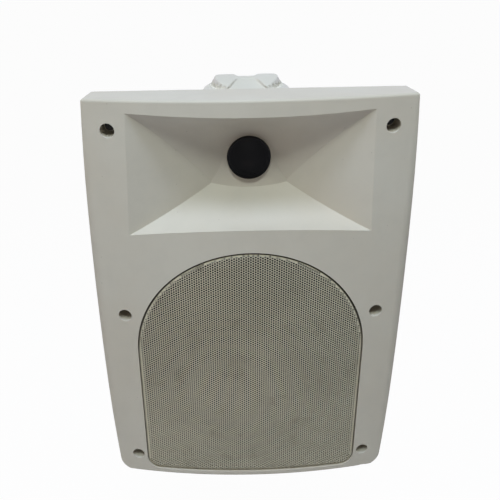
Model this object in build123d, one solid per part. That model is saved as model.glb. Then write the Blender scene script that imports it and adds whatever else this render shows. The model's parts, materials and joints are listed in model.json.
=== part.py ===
from build123d import *
import os
from math import atan2, copysign, cos, radians, sin, sqrt, tan

# Two-way outdoor speaker: a moulded horn baffle on a tapered cabinet that swivels in a U-bracket.
# Origin: middle of the bracket's wall face. The front faces -Y, +Z is up. Millimetres.
# Depths are counted from the middle of the front face towards the wall.

# Front outline and bow
baffle_height = 350.0
half_width_mid = 127.7
side_bow_top = 6.2
side_bow_bottom = 6.9
corner_radius_top = 2.2
corner_radius_bottom = 14.0
bow_radius = 560.0
roll_radius = 12.0
roll_overhang = 1.0
edge_radius = 2.0
baffle_depth = 36.0
baffle_wall = 4.0
rim_wall = 5.0
draft_start = 16.0
side_draft = 3.0

# Distance from the front to the swivel axis, and room between the cabinet and the wall
front_to_pivot = 95.0
rear_room = 25.0

# Horn: mouth corners measured in from the sides and down from the top edge
mouth_margin_top = 37.7
mouth_margin_bottom = 33.5
mouth_top_drop = 9.5
mouth_top_sag = 3.0
mouth_bottom_drop = 105.0
mouth_bottom_rise = 5.6
horn_depth = 38.0
horn_wall = 4.0
horn_lead = 6.0
horn_stations = (0.08, 0.22, 0.45, 0.68, 0.85, 0.95, 1.0)
horn_points = 17
horn_cove = 0.5
horn_floor_sag = 4.5
horn_edge_sag = 1.5
horn_edge_lift = 3.2
tweeter_drop = 53.6
throat_half = 30.0
throat_ring = 18.6
throat_turn = 125.0
throat_flare_power = 6
throat_corner_drop = 18.5
throat_corner_height = 2.0
throat_floor_sag = 4.0

# Grille and the pocket behind it
grille_margin = 32.7
grille_top_drop = 119.4
grille_bottom_rise = 6.1
grille_corner = 11.0
grille_sheet = 1.0
grille_setback = 0.3
grille_edge_radius = 3.0
grille_gap = 0.8
ledge_depth = 14.0
ledge_width = 4.0
pocket_depth = 20.0
pocket_wall = 2.6
cloth_thickness = 0.6
cloth_margin = 0.3

# Six screws that hold the baffle on the cabinet
screw_margin = 23.7
screw_top_drop = 22.6
screw_mid_drop = 3.8
screw_bottom_rise = 20.8
screw_counterbore = 5.5
screw_head = 4.0
screw_head_height = 2.6
screw_shank = 2.0
screw_bite = 10.0
screw_clearance = 0.2
thread_clearance = 0.05
screw_seat = 7.0
screw_boss = 8.0
boss_web = 3.0
cross_width = 1.0
cross_depth = 1.2
cross_reach = 1.2
small_screw_head = 2.8
small_screw_shank = 1.5

# Cabinet
cabinet_depth = 185.0
cabinet_wall = 4.5
cabinet_rim = 6.0
rim_inset = 1.6
shoulder_end = 62.0
shoulder_inset = 15.7
shoulder_drop = 36.0
rear_half = 60.0
body_corner = 18.0
rear_edge_radius = 6.0
gasket_width = 2.0
gasket_depth = 2.0
gasket_inset = 0.7

# Woofer
frame_margin = 12.0
frame_sheet = 1.5
cutout_margin = 10.0
cutout_clearance = 1.5
trim_ring_height = 3.0
trim_ring_width = 10.5
trim_ring_margin = 0.5
surround_lip = 2.0
surround_sheet = 0.9
roll_width = 11.0
cone_sheet = 1.0
cone_height = 26.5
neck_height = 4.0
cap_radius = 24.0
cap_height = 9.0
coil_radius = 16.7
coil_sheet = 0.5
coil_winding = 0.5
coil_length = 26.0
winding_length = 9.0
magnet_gap = 0.4
spider_radius = 44.0
spider_sheet = 0.7
spider_drop = 1.0
spider_collar = 2.0
spider_seat_margin = 5.0
spider_waves = 4
spider_wave_height = 1.6
basket_neck = 40.0
basket_depth = 43.5
window_count = 6
window_angle = 38.0
window_front_margin = 6.0
window_back_margin = 3.0
top_plate_height = 6.0
magnet_radius = 45.0
magnet_hole = 24.0
magnet_height = 15.0
magnet_rim = 3.0
back_plate_height = 6.0
vent_radius = 5.0
woofer_screw_count = 4
woofer_screw_margin = 5.5
woofer_screw_bite = 9.0
woofer_boss = 5.0

# Tweeter
dome_radius = 12.7
dome_height = 4.5
dome_sheet = 0.4
guard_radius = 16.9
guard_height = 3.6
guard_skirt = 4.4
guard_sheet = 0.7
throat_clearance = 0.4
spigot_wall = 1.5
seat_step = 3.0
dome_seat_depth = 0.5
plate_radius = 27.0
plate_height = 3.0
motor_radius = 17.0
motor_height = 9.0
motor_base = 3.0
motor_gap = 1.2
tweeter_screw_count = 3
tweeter_screw_circle = 23.0
tweeter_screw_bite = 3.0

# Crossover board on the rear wall
board_width = 110.0
board_height = 76.0
board_sheet = 1.6
board_rise = 45.0
standoff_height = 6.0
standoff_radius = 4.0
standoff_inset = 6.0
choke_radius = 17.0
choke_core = 6.0
choke_height = 18.0
choke_spacing = 4.0
part_gap = 0.2
capacitor_radius = 8.0
capacitor_length = 32.0
resistor_length = 24.0
resistor_side = 8.0

# Terminals on the back
terminal_drop = 62.0
terminal_plate_width = 74.0
terminal_plate_height = 52.0
terminal_plate_sheet = 3.0
terminal_hole_inset = 9.0
terminal_screw_inset = 5.0
post_spacing = 19.0
post_radius = 2.5
post_inner_length = 12.0
collar_radius = 5.5
collar_height = 2.0
nut_flat = 9.0
nut_height = 4.0
cap_turn_radius = 6.5
cap_length = 12.0
cap_end = 2.0
cap_flutes = 10
cap_flute_radius = 0.9
cap_gap = 0.3

# Swivel bracket and knobs
bracket_width = 60.0
bracket_sheet = 4.0
bracket_bend = 6.0
wall_hole_radius = 3.0
wall_hole_span_x = 36.0
wall_hole_span_z = 200.0
washer_radius = 25.0
washer_height = 2.0
swivel_gap = 0.3
arm_hole_clearance = 0.5
bolt_radius = 4.0
bolt_bite = 14.0
bolt_grip = 12.0
insert_radius = 7.0
insert_length = 16.0
insert_boss_wall = 7.0
insert_boss_floor = 4.0
knob_radius = 35.7
knob_edge_height = 16.8
knob_taper = 1.2
knob_wall = 3.6
knob_hub = 13.0
knob_roof = 6.0
crown_radius = 28.5
crown_top_radius = 26.3
crown_base = 21.0
crown_top = 27.0
crown_round = 1.2
crown_roll = 70.0
crown_bar = 8.0
saddle_half = 17.0
saddle_dip = 0.8
scoop_drop = 1.6
scoop_half_top = 6.6
scoop_half_base = 21.0
rib_radius = 1.7
rib_offset = 0.6
rib_drop = 1.5
rib_step = 8.0
rib_count = 11

# Leads inside the cabinet
lead_radius = 1.5
lead_run_share = 0.45
lead_exit = 10.0
lead_standoff = 22.0
lead_clock = 45.0

# Places worked out from the sizes above
z_top = baffle_height / 2
half_width_top = half_width_mid - side_bow_top
half_width_bottom = half_width_mid - side_bow_bottom
pivot_to_wall = cabinet_depth - front_to_pivot + rear_room
y_pivot = -pivot_to_wall
y_front = y_pivot - front_to_pivot
z_tweeter = z_top - tweeter_drop
mouth_half_top = half_width_mid - mouth_margin_top
mouth_half_bottom = half_width_mid - mouth_margin_bottom
grille_half = half_width_mid - grille_margin
z_arch = z_top - grille_top_drop - grille_half
z_grille_bottom = grille_bottom_rise - z_top
z_woofer = (z_arch + grille_half + z_grille_bottom) / 2
throat_back = horn_depth + horn_wall
shoulder_half = half_width_mid - shoulder_inset
body_half_height = z_top - shoulder_drop
rear_inside = cabinet_depth - cabinet_wall
z_terminal = -terminal_drop
woofer_face = pocket_depth - frame_sheet
frame_radius = grille_half - frame_margin
cutout_radius = frame_radius - cutout_margin
woofer_screw_circle = frame_radius - woofer_screw_margin
surround_outer = frame_radius - trim_ring_margin - trim_ring_width
basket_mouth = cutout_radius - cutout_clearance
basket_base = pocket_depth + basket_depth
cone_neck = woofer_face + cone_height
spider_seat = cone_neck + neck_height + spider_drop + spider_sheet
spider_seat_radius = spider_radius + spider_seat_margin
dome_seat = throat_back + dome_seat_depth
dome_bore = dome_radius + magnet_gap
board_back = rear_inside - standoff_height
board_face = board_back - board_sheet
terminal_face = cabinet_depth + terminal_plate_sheet
cap_start = terminal_face + collar_height + cap_gap
arm_top = body_half_height + washer_height + swivel_gap + bracket_sheet
knob_base = arm_top + swivel_gap
pilot = screw_shank + thread_clearance
small_pilot = small_screw_shank + thread_clearance


def facing(depth, x=0.0, z=0.0):
    """Plane that looks out of the front, at a depth behind the middle of the face."""
    return Plane(origin=(x, y_front + depth, z), x_dir=(1, 0, 0), z_dir=(0, -1, 0))


def prism(sketch, start, end, x=0.0, z=0.0):
    """Sketch drawn on the front view, extruded between two depths."""
    return extrude(facing(end, x, z) * sketch, amount=end - start)


def disc(radius, start, end, x=0.0, z=0.0):
    return prism(Circle(radius), start, end, x, z)


def turned(edges, z):
    """Closed profile of (radius, depth) edges, turned about a front-to-back axis at height z."""
    plane = Plane(origin=(0, y_front, z), x_dir=(1, 0, 0), z_dir=(0, 0, 1))
    return revolve(plane * make_face(edges), axis=Axis((0, 0, z), (0, 1, 0)))


def turned_ring(points, z):
    return turned(Polyline(*points, close=True), z)


def bow_at(x):
    return bow_radius - sqrt(bow_radius**2 - x**2)


def bowed_core(setback):
    """Round body whose front is the bowed face moved back by a setback."""
    return Pos(0, y_front + bow_radius, 0) * Cylinder(bow_radius - setback, 2 * baffle_height)


def outline(inset, draft=0.0):
    """Barrel outline of the front, moved in by an inset and narrowed at each side by a draft."""
    top = z_top - inset
    half_top = half_width_top - inset - draft
    half_mid = half_width_mid - inset - draft
    half_bottom = half_width_bottom - inset - draft
    edges = [
        Line((-half_top, top), (half_top, top)),
        ThreePointArc((half_top, top), (half_mid, 0), (half_bottom, -top)),
        Line((half_bottom, -top), (-half_bottom, -top)),
        ThreePointArc((-half_bottom, -top), (-half_mid, 0), (-half_top, top)),
    ]
    rows = make_face(edges).vertices().group_by(Axis.Y)
    face = fillet(rows[-1], max(corner_radius_top - inset, edge_radius))
    return fillet(face.vertices().group_by(Axis.Y)[0], max(corner_radius_bottom - inset, edge_radius))


def arch(grow):
    """Arch outline of the grille, grown outwards."""
    half = grille_half + grow
    bottom = z_grille_bottom - grow
    edges = [
        ThreePointArc((-half, z_arch), (0, z_arch + half), (half, z_arch)),
        Polyline((half, z_arch), (half, bottom), (-half, bottom), (-half, z_arch)),
    ]
    return fillet(make_face(edges).vertices().group_by(Axis.Y)[0], grille_corner + grow)


def rolled_block(inset, back):
    """Block with the bowed face, the rolled side edges and softened top and bottom edges."""
    half = half_width_mid + roll_overhang - inset
    corner = bow_at(half) + inset
    edges = [
        ThreePointArc((-half, corner), (0, inset), (half, corner)),
        Polyline((half, corner), (half, back), (-half, back), (-half, corner)),
    ]
    plan = make_face(edges)
    plan = fillet(plan.vertices().group_by(Axis.Y)[0], roll_radius - inset)
    tall = baffle_height - 2 * inset
    block = Pos(0, y_front, -tall / 2) * extrude(plan, amount=tall)
    ends = block.edges().filter_by_position(Axis.Y, y_front, y_front + back - edge_radius)
    ends = ends.filter_by(lambda e: abs(abs(e.center().Z) - tall / 2) < edge_radius / 2)
    return fillet(ends, edge_radius) if inset == 0 else block


def throat_point(across):
    """Point of the throat's bell-shaped upper edge; across runs from -1 to 1."""
    turn = radians(throat_turn)
    flare = abs(across) ** throat_flare_power
    x = throat_ring * sin(across * turn)
    x += copysign(flare, across) * (throat_half - throat_ring * sin(turn))
    z = throat_ring * cos(across * turn)
    z -= flare * (throat_corner_drop + throat_ring * cos(turn))
    return x, z_tweeter + z


def horn_wall_point(side, across, depth):
    """Point of the horn's ceiling (side 1) or floor (side -1) at a depth."""
    inward = 1 - across**2
    if side > 0:
        throat_x, throat_z = throat_point(across)
        mouth_x = across * mouth_half_top
        mouth_z = z_top - mouth_top_drop - mouth_top_sag * inward
        bend = horn_edge_lift * across**2
        cove = horn_cove * inward
    else:
        throat_x = across * throat_half
        throat_z = z_tweeter - throat_corner_drop - throat_corner_height - throat_floor_sag * inward
        mouth_x = across * mouth_half_bottom
        mouth_z = z_top - mouth_bottom_drop + mouth_bottom_rise * inward
        bend = -horn_edge_sag - (horn_floor_sag - horn_edge_sag) * inward
        cove = 0
    mouth_depth = bow_at(mouth_x)
    way = min((depth - mouth_depth) / (horn_depth - mouth_depth), 1)
    share = (1 - cove) * way + cove * (1 - sqrt(1 - way**2))
    z = mouth_z + share * (throat_z - mouth_z) + 4 * bend * way * (1 - way)
    return mouth_x + share * (throat_x - mouth_x), z


def horn_section(depth, wall):
    """Cross-section of the horn at a depth, moved back and opened by a wall thickness."""
    steps = [2 * step / (horn_points - 1) - 1 for step in range(horn_points)]
    ceiling = [horn_wall_point(1, step, depth) for step in steps]
    floor = [horn_wall_point(-1, step, depth) for step in steps]
    ceiling = [(x, z + wall / 2) for x, z in ceiling]
    floor = [(x, z - wall / 2) for x, z in floor]
    edges = [
        Spline(*ceiling),
        Line(ceiling[-1], floor[-1]),
        Spline(*floor[::-1]),
        Line(floor[0], ceiling[0]),
    ]
    return facing(depth + wall) * make_face(edges)


def horn(wall):
    """The horn's hollow, or with a wall thickness the body around it."""
    depths = [-horn_lead] + [share * horn_depth for share in horn_stations]
    return loft([horn_section(depth, wall) for depth in depths])


def group(pieces):
    """Separate solids that share one node."""
    return Compound([solid for piece in pieces for solid in piece.solids()])


def screw_places():
    """Front-view places of the six screws that hold the baffle."""
    half_span = half_width_mid - screw_margin
    rows = (z_top - screw_top_drop, -screw_mid_drop, screw_bottom_rise - z_top)
    return [(side * half_span, z) for z in rows for side in (-1, 1)]


def circle_places(count, radius, z):
    """Evenly spaced front-view places on a circle, starting half a step from +X."""
    turns = [radians(360 * (step + 0.5) / count) for step in range(count)]
    return [(radius * cos(turn), z + radius * sin(turn)) for turn in turns]


def woofer_screw_places():
    return circle_places(woofer_screw_count, woofer_screw_circle, z_woofer)


def tweeter_screw_places():
    return circle_places(tweeter_screw_count, tweeter_screw_circle, z_tweeter)


def board_places():
    """Front-view places of the four standoffs under the crossover board."""
    half_x = board_width / 2 - standoff_inset
    half_z = board_height / 2 - standoff_inset
    return [(i * half_x, board_rise + k * half_z) for i in (-1, 1) for k in (-1, 1)]


def terminal_screw_places():
    half_x = terminal_plate_width / 2 - terminal_screw_inset
    half_z = terminal_plate_height / 2 - terminal_screw_inset
    return [(i * half_x, z_terminal + k * half_z) for i in (-1, 1) for k in (-1, 1)]


def post_places():
    return [(i * post_spacing / 2, z_terminal) for i in (-1, 1)]


def pan_screw(places, seat, head, shank, tip, forward=True):
    """Pan-head screws with a cross recess; the head's flat side lies at the seat depth."""
    way = -1 if forward else 1
    face = seat + way * screw_head_height
    screws = []
    for x, z in places:
        screw = disc(head, *sorted((seat, face)), x, z) + disc(shank, *sorted((seat, tip)), x, z)
        for turn in (0, 90):
            bar = Rot(0, 0, turn) * Rectangle(cross_reach * head, cross_width)
            screw -= prism(bar, *sorted((face, face - way * cross_depth)), x, z)
        screws.append(screw)
    return group(screws)


def drafted_block(inset):
    """Barrel block of the front: straight at first, then drafted towards the cabinet."""
    straight = prism(outline(inset), 0, draft_start)
    ends = [facing(draft_start) * outline(inset), facing(baffle_depth) * outline(inset, side_draft)]
    return straight + loft(ends, ruled=True)


def front_baffle():
    limit = rolled_block(0, throat_back)
    outside = drafted_block(0) & rolled_block(0, baffle_depth)
    cavity = drafted_block(rim_wall) & rolled_block(baffle_wall, baffle_depth)
    body = outside - cavity + (horn(horn_wall) & limit)
    body += prism(arch(grille_gap + pocket_wall), 0, pocket_depth + baffle_wall) & limit
    for x, z in screw_places():
        body += disc(screw_boss, 0, baffle_depth, x, z) & limit
    for x, z in woofer_screw_places():
        body += disc(woofer_boss, pocket_depth, pocket_depth + woofer_screw_bite, x, z)
    body -= horn(0)
    body -= prism(arch(grille_gap), -horn_lead, ledge_depth)
    body -= prism(arch(-ledge_width), -horn_lead, pocket_depth)
    body -= disc(cutout_radius, 0, baffle_depth, 0, z_woofer)
    body -= disc(guard_radius + throat_clearance, 0, throat_back, 0, z_tweeter)
    for x, z in screw_places():
        body -= disc(screw_counterbore, 0, baffle_depth - screw_seat, x, z)
        body -= disc(screw_shank + screw_clearance, 0, baffle_depth, x, z)
    for x, z in woofer_screw_places():
        body -= disc(pilot, pocket_depth, pocket_depth + woofer_screw_bite, x, z)
    for x, z in tweeter_screw_places():
        body -= disc(small_pilot, throat_back - tweeter_screw_bite, throat_back, x, z)
    return body


def cabinet_body(inset, front, back):
    """Rim, steep shoulder and tapered box of the cabinet, moved in by an inset."""
    half_height = body_half_height - inset
    corner = body_corner - inset
    sections = [
        facing(front) * outline(rim_inset + inset, side_draft),
        facing(baffle_depth + cabinet_rim) * outline(rim_inset + inset, side_draft),
        facing(shoulder_end) * RectangleRounded(2 * (shoulder_half - inset), 2 * half_height, corner),
        facing(back) * RectangleRounded(2 * (rear_half - inset), 2 * half_height, corner),
    ]
    return loft(sections, ruled=True)


def rear_cabinet():
    outside = cabinet_body(0, baffle_depth, cabinet_depth)
    outside = fillet(outside.faces().sort_by(Axis.Y)[-1].edges(), rear_edge_radius)
    body = outside - cabinet_body(cabinet_wall, baffle_depth, rear_inside)
    boss_end = baffle_depth + screw_bite + cabinet_wall
    for x, z in screw_places():
        boss = disc(screw_boss, baffle_depth, boss_end, x, z)
        web = prism(Rectangle(abs(x), boss_web), baffle_depth, boss_end, 1.5 * x, z)
        body += (boss + web) & outside
        body -= disc(pilot, baffle_depth, baffle_depth + screw_bite, x, z)
    boss_height = insert_length + insert_boss_floor
    for end in (-1, 1):
        boss = Cylinder(insert_radius + insert_boss_wall, boss_height)
        body += Pos(0, y_pivot, end * (body_half_height - boss_height / 2)) * boss
        socket = Cylinder(insert_radius, insert_length)
        body -= Pos(0, y_pivot, end * (body_half_height - insert_length / 2)) * socket
    for x, z in board_places():
        body += disc(standoff_radius, board_back, rear_inside, x, z)
        body -= disc(small_pilot, board_back, rear_inside, x, z)
    hole_width = terminal_plate_width - 2 * terminal_hole_inset
    hole_height = terminal_plate_height - 2 * terminal_hole_inset
    body -= prism(Rectangle(hole_width, hole_height), rear_inside, cabinet_depth, 0, z_terminal)
    for x, z in terminal_screw_places():
        body -= disc(small_pilot, rear_inside, cabinet_depth, x, z)
    return body - baffle_gasket()


def baffle_gasket():
    start = rim_inset + gasket_inset
    ring = outline(start, side_draft) - outline(start + gasket_width, side_draft)
    return prism(ring, baffle_depth, baffle_depth + gasket_depth)


def baffle_screws():
    seat = baffle_depth - screw_seat
    return pan_screw(screw_places(), seat, screw_head, screw_shank, baffle_depth + screw_bite)


def formed_dish(grow, setback, radius):
    """Bowed block of the grille's outline with a rounded front edge."""
    block = prism(arch(grow), 0, ledge_depth) & bowed_core(setback)
    front = block.faces().sort_by(Axis.Y)[0]
    return fillet(front.edges(), radius)


def woofer_grille():
    inner_radius = grille_edge_radius - grille_sheet
    outside = formed_dish(0, grille_setback, grille_edge_radius)
    return outside - formed_dish(-grille_sheet, grille_setback + grille_sheet, inner_radius)


def grille_cloth():
    back = grille_setback + grille_sheet
    sheet = prism(arch(-grille_edge_radius - cloth_margin), 0, ledge_depth)
    return (sheet & bowed_core(back)) - bowed_core(back + cloth_thickness)


def cap_arc(radius, height, depth):
    """Arc of a domed cap from its rim to its middle."""
    sphere = (radius**2 + height**2) / (2 * height)
    half_turn = atan2(radius, sphere - height) / 2
    middle = (sphere * sin(half_turn), depth - height + sphere * (1 - cos(half_turn)))
    return ThreePointArc((radius, depth), middle, (0, depth - height))


def domed_shell(radius, height, sheet, depth, rim):
    """Edges of a domed sheet; rim is how far the inner arc starts behind the outer one."""
    outer = cap_arc(radius, height, depth)
    inner = cap_arc(radius - sheet, height - sheet + rim, depth + rim)
    return [
        outer,
        Line((0, depth - height), (0, depth - height + sheet)),
        inner,
        Line((radius - sheet, depth + rim), (radius, depth)),
    ]


def woofer_basket():
    ring = turned_ring(
        [
            (frame_radius, woofer_face),
            (frame_radius, pocket_depth),
            (basket_mouth, pocket_depth),
            (spider_seat_radius, spider_seat + frame_sheet),
            (basket_neck, spider_seat + frame_sheet),
            (basket_neck, basket_base),
            (magnet_hole, basket_base),
            (magnet_hole, basket_base - frame_sheet),
            (basket_neck - frame_sheet, basket_base - frame_sheet),
            (basket_neck - frame_sheet, spider_seat),
            (spider_seat_radius - frame_sheet, spider_seat),
            (surround_outer - surround_lip, woofer_face),
        ],
        z_woofer,
    )
    window_start = pocket_depth + window_front_margin
    window_end = spider_seat - window_back_margin
    window_width = 2 * spider_seat_radius * sin(radians(window_angle / 2))
    for step in range(window_count):
        window = Pos(frame_radius / 2, 0) * Rectangle(frame_radius, window_width)
        turn = 360 * (step + 0.5) / window_count
        ring -= prism(Rot(0, 0, turn) * window, window_start, window_end, 0, z_woofer)
    for x, z in woofer_screw_places():
        ring -= disc(screw_shank + screw_clearance, woofer_face, pocket_depth, x, z)
    return ring


def woofer_gasket():
    front = woofer_face - trim_ring_height
    inner = surround_outer
    outer = surround_outer + trim_ring_width
    ring = turned_ring(
        [(inner, front), (outer, front), (outer, woofer_face), (inner, woofer_face)],
        z_woofer,
    )
    for x, z in woofer_screw_places():
        ring -= disc(screw_shank + screw_clearance, front, woofer_face, x, z)
    return ring


def woofer_surround():
    middle = surround_outer - surround_lip - roll_width / 2
    outer = roll_width / 2
    inner = outer - surround_sheet
    foot = sqrt(outer**2 - surround_sheet**2)
    back = woofer_face
    front = back - surround_sheet
    inside = middle - outer - surround_lip
    edges = [
        Polyline((middle + inner, back), (surround_outer, back), (surround_outer, front)),
        Line((surround_outer, front), (middle + foot, front)),
        ThreePointArc((middle + foot, front), (middle, back - outer), (middle - foot, front)),
        Polyline((middle - foot, front), (inside, front), (inside, back)),
        Line((inside, back), (middle - inner, back)),
        ThreePointArc((middle - inner, back), (middle, back - inner), (middle + inner, back)),
    ]
    return turned(edges, z_woofer)


def woofer_cone():
    edge = surround_outer - surround_lip - roll_width
    slope_start = edge - surround_lip
    back = woofer_face + cone_sheet
    return turned_ring(
        [
            (edge, woofer_face),
            (slope_start, woofer_face),
            (coil_radius, cone_neck),
            (coil_radius, cone_neck + neck_height),
            (coil_radius + cone_sheet, cone_neck + neck_height),
            (coil_radius + cone_sheet, cone_neck + cone_sheet),
            (slope_start, back),
            (edge, back),
        ],
        z_woofer,
    )


def dust_cap():
    slope_start = surround_outer - 2 * surround_lip - roll_width
    slope = cone_height / (slope_start - coil_radius)
    seat = woofer_face + (slope_start - cap_radius) * slope
    edges = domed_shell(cap_radius, cap_height, cone_sheet, seat, cone_sheet * slope)
    return turned(edges, z_woofer)


def voice_coil():
    inner = coil_radius - coil_sheet
    end = cone_neck + coil_length
    wound = end - winding_length
    return turned_ring(
        [
            (inner, cone_neck),
            (coil_radius, cone_neck),
            (coil_radius, wound),
            (coil_radius + coil_winding, wound),
            (coil_radius + coil_winding, end),
            (inner, end),
        ],
        z_woofer,
    )


def woofer_spider():
    """Corrugated disc between the coil former and the basket's seat."""
    front = spider_seat - spider_sheet
    inner = coil_radius + spider_collar
    outer = basket_neck - 2 * frame_sheet
    steps = 2 * spider_waves
    wave = [(coil_radius, front), (inner, front)]
    for step in range(1, steps):
        rise = spider_wave_height / 2 * (1 if step % 2 else -1)
        wave.append((inner + (outer - inner) * step / steps, front - rise))
    wave += [(outer, front), (spider_radius, front)]
    back = [(radius, depth + spider_sheet) for radius, depth in wave]
    return turned_ring(wave + back[::-1], z_woofer)


def woofer_top_plate():
    inner = coil_radius + coil_winding + magnet_gap
    outer = magnet_radius - magnet_rim
    front = basket_base
    back = front + top_plate_height
    return turned_ring([(inner, front), (outer, front), (outer, back), (inner, back)], z_woofer)


def woofer_magnet():
    front = basket_base + top_plate_height
    back = front + magnet_height
    return turned_ring(
        [(magnet_hole, front), (magnet_radius, front), (magnet_radius, back), (magnet_hole, back)],
        z_woofer,
    )


def woofer_back_plate():
    pole = coil_radius - coil_sheet - magnet_gap
    front = basket_base + top_plate_height + magnet_height
    back = front + back_plate_height
    outer = magnet_radius - magnet_rim
    return turned_ring(
        [
            (vent_radius, basket_base),
            (pole, basket_base),
            (pole, front),
            (outer, front),
            (outer, back),
            (vent_radius, back),
        ],
        z_woofer,
    )


def woofer_screws():
    seat = woofer_face - trim_ring_height
    tip = pocket_depth + woofer_screw_bite
    return pan_screw(woofer_screw_places(), seat, screw_head, screw_shank, tip)


def tweeter_plate():
    """Mounting plate with a spigot that reaches into the throat and a seat for the dome."""
    spigot = guard_radius
    seat = spigot - spigot_wall
    tip = throat_back - seat_step
    back = throat_back + plate_height
    ring = turned_ring(
        [
            (dome_bore, back),
            (plate_radius, back),
            (plate_radius, throat_back),
            (spigot, throat_back),
            (spigot, tip),
            (seat, tip),
            (seat, dome_seat),
            (dome_bore, dome_seat),
        ],
        z_tweeter,
    )
    for x, z in tweeter_screw_places():
        ring -= disc(small_screw_shank + screw_clearance, throat_back, back, x, z)
    return ring


def tweeter_guard():
    """Mesh guard in front of the tweeter: a domed cap on a short skirt that stands on the spigot."""
    tip = throat_back - seat_step
    rim = tip - guard_skirt
    inner = guard_radius - guard_sheet
    edges = [
        Polyline((inner, tip), (guard_radius, tip), (guard_radius, rim)),
        cap_arc(guard_radius, guard_height, rim),
        Line((0, rim - guard_height), (0, rim - guard_height + guard_sheet)),
        cap_arc(inner, guard_height - guard_sheet, rim),
        Line((inner, rim), (inner, tip)),
    ]
    return turned(edges, z_tweeter)


def tweeter_dome():
    """Cloth dome with its flat rim and the coil former behind it, one glued piece."""
    rim = guard_radius - spigot_wall - throat_clearance
    front = dome_seat - dome_sheet
    former = dome_radius - dome_sheet
    end = throat_back + plate_height + motor_height - motor_base - motor_gap
    edges = [
        Polyline((former, end), (dome_radius, end), (dome_radius, dome_seat), (rim, dome_seat)),
        Polyline((rim, dome_seat), (rim, front), (dome_radius, front)),
        cap_arc(dome_radius, dome_height, front),
        Line((0, front - dome_height), (0, front - dome_height + dome_sheet)),
        cap_arc(former, dome_height - dome_sheet, front),
        Line((former, front), (former, end)),
    ]
    return turned(edges, z_tweeter)


def tweeter_yoke():
    front = throat_back + plate_height
    back = front + motor_height
    inner = dome_radius + magnet_gap
    return turned_ring(
        [
            (inner, front),
            (motor_radius, front),
            (motor_radius, back),
            (0, back),
            (0, back - motor_base),
            (inner, back - motor_base),
        ],
        z_tweeter,
    )


def tweeter_magnet():
    front = throat_back + plate_height
    end = front + motor_height - motor_base
    return disc(dome_radius - dome_sheet - magnet_gap, front, end, 0, z_tweeter)


def tweeter_screws():
    seat = throat_back + plate_height
    tip = throat_back - tweeter_screw_bite
    return pan_screw(tweeter_screw_places(), seat, small_screw_head, small_screw_shank, tip, False)


def crossover_board():
    board = prism(Rectangle(board_width, board_height), board_face, board_back, 0, board_rise)
    for x, z in board_places():
        board -= disc(small_screw_shank + screw_clearance, board_face, board_back, x, z)
    return board


def board_screws():
    tip = board_back + standoff_height
    return pan_screw(board_places(), board_face, small_screw_head, small_screw_shank, tip)


def choke_places():
    first = -board_width / 2 + choke_radius + standoff_inset
    z = board_rise + board_height / 2 - choke_radius - standoff_inset - standoff_radius
    return [(first + step * (2 * choke_radius + choke_spacing), z) for step in range(2)]


def crossover_coils():
    rings = []
    for x, z in choke_places():
        ring = Circle(choke_radius) - Circle(choke_core)
        rings.append(prism(ring, board_face - choke_height, board_face, x, z))
    return group(rings)


def capacitor_row():
    return board_rise - board_height / 2 + 2 * standoff_inset + capacitor_radius


def crossover_capacitors():
    cans = []
    for step in range(2):
        x = -board_width / 2 + 2 * standoff_inset + step * (capacitor_length + choke_spacing)
        axis_depth = board_face - capacitor_radius - part_gap
        end = Plane(origin=(x, y_front + axis_depth, capacitor_row()), x_dir=(0, 1, 0), z_dir=(1, 0, 0))
        cans.append(extrude(end * Circle(capacitor_radius), amount=capacitor_length))
    return group(cans)


def crossover_resistor():
    start = -board_width / 2 + 2 * standoff_inset + 2 * (capacitor_length + choke_spacing)
    middle = start + resistor_length / 2
    body = Rectangle(resistor_length, resistor_side)
    return prism(body, board_face - resistor_side, board_face, middle, capacitor_row())


def terminal_plate():
    flat = RectangleRounded(terminal_plate_width, terminal_plate_height, terminal_screw_inset)
    plate = prism(flat, cabinet_depth, terminal_face, 0, z_terminal)
    for x, z in terminal_screw_places():
        plate -= disc(small_screw_shank + screw_clearance, cabinet_depth, terminal_face, x, z)
    for x, z in post_places():
        plate -= disc(post_radius, cabinet_depth, terminal_face, x, z)
    return plate


def terminal_plate_screws():
    places = terminal_screw_places()
    return pan_screw(places, terminal_face, small_screw_head, small_screw_shank, rear_inside, False)


def terminal_posts():
    posts = []
    end = cap_start + cap_length - cap_end - cap_gap
    for x, z in post_places():
        stud = disc(post_radius, cabinet_depth - post_inner_length, end, x, z)
        posts.append(stud + disc(collar_radius, terminal_face, terminal_face + collar_height, x, z))
    return group(posts)


def terminal_nuts():
    nuts = []
    for x, z in post_places():
        hexagon = RegularPolygon(nut_flat / 2, 6, major_radius=False)
        ring = hexagon - Circle(post_radius + thread_clearance)
        nuts.append(prism(ring, cabinet_depth - nut_height, cabinet_depth, x, z))
    return group(nuts)


def terminal_cap(side):
    """Fluted cap that screws down on one post."""
    x = side * post_spacing / 2
    end = cap_start + cap_length
    cap = disc(cap_turn_radius, cap_start, end, x, z_terminal)
    for step in range(cap_flutes):
        turn = radians(360 * step / cap_flutes)
        flute_x = x + cap_turn_radius * cos(turn)
        flute_z = z_terminal + cap_turn_radius * sin(turn)
        cap -= disc(cap_flute_radius, cap_start, end, flute_x, flute_z)
    return cap - disc(post_radius + thread_clearance, cap_start, end - cap_end, x, z_terminal)


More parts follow.
